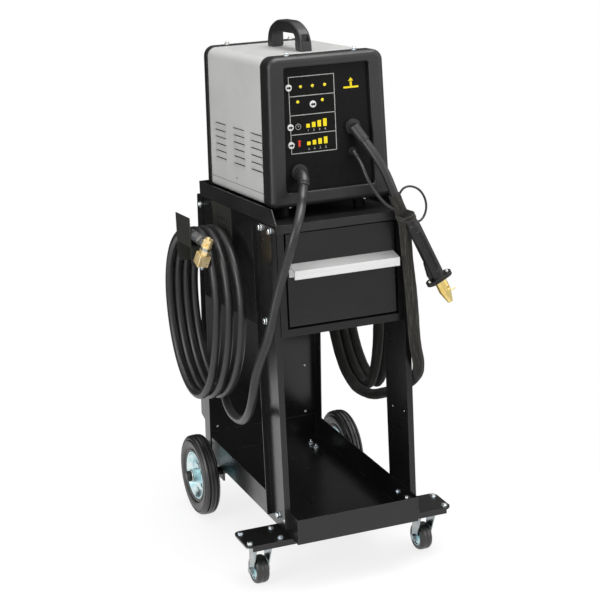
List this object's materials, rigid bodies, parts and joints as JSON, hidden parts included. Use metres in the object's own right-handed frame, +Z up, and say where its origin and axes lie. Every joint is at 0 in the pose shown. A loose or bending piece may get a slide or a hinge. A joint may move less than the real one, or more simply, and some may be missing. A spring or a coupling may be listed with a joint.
{
  "type": "dent pulling welder cart",
  "caption": "Spot welder for pulling dents out of car bodies, on a black wheeled cart with a drawer, side hooks for its coiled cables, a hand gun and an earth clamp.",
  "frame": {"origin": "on the floor under the centre of the cart's outline, cables left out", "axes": "+X to the right of a person facing the drawer, +Y to the back, +Z up; the drawer faces -Y"},
  "size_m": [0.514, 0.617, 1.2351],
  "materials": {
    "frame_black": "satin black powder coat",
    "aluminium": "clear anodised extrusion",
    "zinc": "bright zinc plate",
    "steel": "bare steel",
    "tyre": "solid rubber tyre",
    "roller": "black rubber roller",
    "cover_silver": "light silver grey paint",
    "bezel_black": "fine grained black moulding",
    "panel_black": "smooth black film",
    "button_grey": "dark grey keys",
    "lamp_yellow": "small yellow lenses",
    "core_steel": "stacked steel sheets",
    "winding": "enamelled copper wire",
    "board": "circuit board",
    "cable_rubber": "black cable rubber",
    "sleeve_fabric": "brown grey woven sleeve",
    "brass": "machined brass",
    "gun_black": "black moulded handle"
  },
  "bodies": {
    "cart": {"lower_tray": "frame_black", "rear_panel": "frame_black", "cord_bracket": "frame_black", "left_front_post": "frame_black", "right_front_post": "frame_black", "caster_bar": "frame_black", "top_tray": "frame_black", "drawer_cabinet": "frame_black", "left_cable_hook": "frame_black", "right_cable_hook": "frame_black", "axle_brackets": "frame_black", "cabinet_runners": "zinc", "axle": "zinc", "fasteners": "zinc", "caster_plates": "zinc", "base_pan": "cover_silver", "side_cover": "cover_silver", "front_bezel": "bezel_black", "rear_bezel": "bezel_black", "back_panel": "bezel_black", "carry_handle": "bezel_black", "mains_gland": "bezel_black", "control_panel": "panel_black", "welder_feet": "cable_rubber", "cable_boots": "cable_rubber", "earth_cable": "cable_rubber", "earth_coil": "cable_rubber", "gun_cable": "cable_rubber", "control_cable": "cable_rubber", "trigger_lead": "cable_rubber", "indicator_lamps": "lamp_yellow", "transformer_core": "core_steel", "transformer_winding": "winding", "control_board": "board", "earth_lug": "steel", "earth_clamp": "brass", "gun_nose": "brass", "gun_sleeve": "sleeve_fabric", "gun_coil": "sleeve_fabric", "cable_strap": "sleeve_fabric", "gun_body": "gun_black"},
    "drawer": {"drawer_box": "frame_black", "drawer_front": "frame_black", "drawer_handle": "aluminium", "drawer_runners": "zinc"},
    "left_wheel": {"left_tyre": "tyre", "left_wheel_disc": "zinc"},
    "right_wheel": {"right_tyre": "tyre", "right_wheel_disc": "zinc"},
    "left_caster": {"left_caster_fork": "zinc"},
    "right_caster": {"right_caster_fork": "zinc"},
    "left_roller": {"left_caster_wheel": "roller"},
    "right_roller": {"right_caster_wheel": "roller"},
    "mode_key": {"mode_button": "button_grey"},
    "trigger_key": {"trigger_button": "button_grey"},
    "time_key": {"time_button": "button_grey"},
    "power_key": {"power_button": "button_grey"},
    "gun_lever": {"gun_trigger": "gun_black"},
    "clamp_nut": {"thumb_nut": "brass"}
  },
  "joints": [
    {"name": "drawer_slide", "type": "slide", "parent": "cart", "child": "drawer", "axis": [0, -0.9971, 0.0767], "range_m": [0, 0.36]},
    {"name": "left_wheel_spin", "type": "hinge", "parent": "cart", "child": "left_wheel", "pos_m": [-0.193, 0.2085, 0.1], "axis": [1, 0, 0], "continuous": true},
    {"name": "right_wheel_spin", "type": "hinge", "parent": "cart", "child": "right_wheel", "pos_m": [0.193, 0.2085, 0.1], "axis": [1, 0, 0], "continuous": true},
    {"name": "left_caster_swivel", "type": "hinge", "parent": "cart", "child": "left_caster", "pos_m": [-0.207, -0.226, 0.1], "axis": [0, 0, 1], "continuous": true},
    {"name": "left_caster_roll", "type": "hinge", "parent": "left_caster", "child": "left_roller", "pos_m": [-0.207, -0.211, 0.0325], "axis": [1, 0, 0], "continuous": true},
    {"name": "right_caster_swivel", "type": "hinge", "parent": "cart", "child": "right_caster", "pos_m": [0.207, -0.226, 0.1], "axis": [0, 0, 1], "continuous": true},
    {"name": "right_caster_roll", "type": "hinge", "parent": "right_caster", "child": "right_roller", "pos_m": [0.207, -0.211, 0.0325], "axis": [1, 0, 0], "continuous": true},
    {"name": "mode_press", "type": "slide", "parent": "cart", "child": "mode_key", "axis": [0, 0.9971, -0.0767], "range_m": [0, 0.001], "stiffness_N_per_m": 150},
    {"name": "trigger_press", "type": "slide", "parent": "cart", "child": "trigger_key", "axis": [0, 0.9971, -0.0767], "range_m": [0, 0.001], "stiffness_N_per_m": 150},
    {"name": "time_press", "type": "slide", "parent": "cart", "child": "time_key", "axis": [0, 0.9971, -0.0767], "range_m": [0, 0.001], "stiffness_N_per_m": 150},
    {"name": "power_press", "type": "slide", "parent": "cart", "child": "power_key", "axis": [0, 0.9971, -0.0767], "range_m": [0, 0.001], "stiffness_N_per_m": 150},
    {"name": "gun_trigger_pull", "type": "slide", "parent": "cart", "child": "gun_lever", "axis": [0.9074, 0.0522, 0.417], "range_m": [0, 0.003], "stiffness_N_per_m": 250},
    {"name": "thumb_nut_turn", "type": "hinge", "parent": "cart", "child": "clamp_nut", "pos_m": [-0.23423, -0.00402, 0.74303], "axis": [0.2029, -0.3348, 0.9202], "range_deg": [-180, 180]}
  ]
}
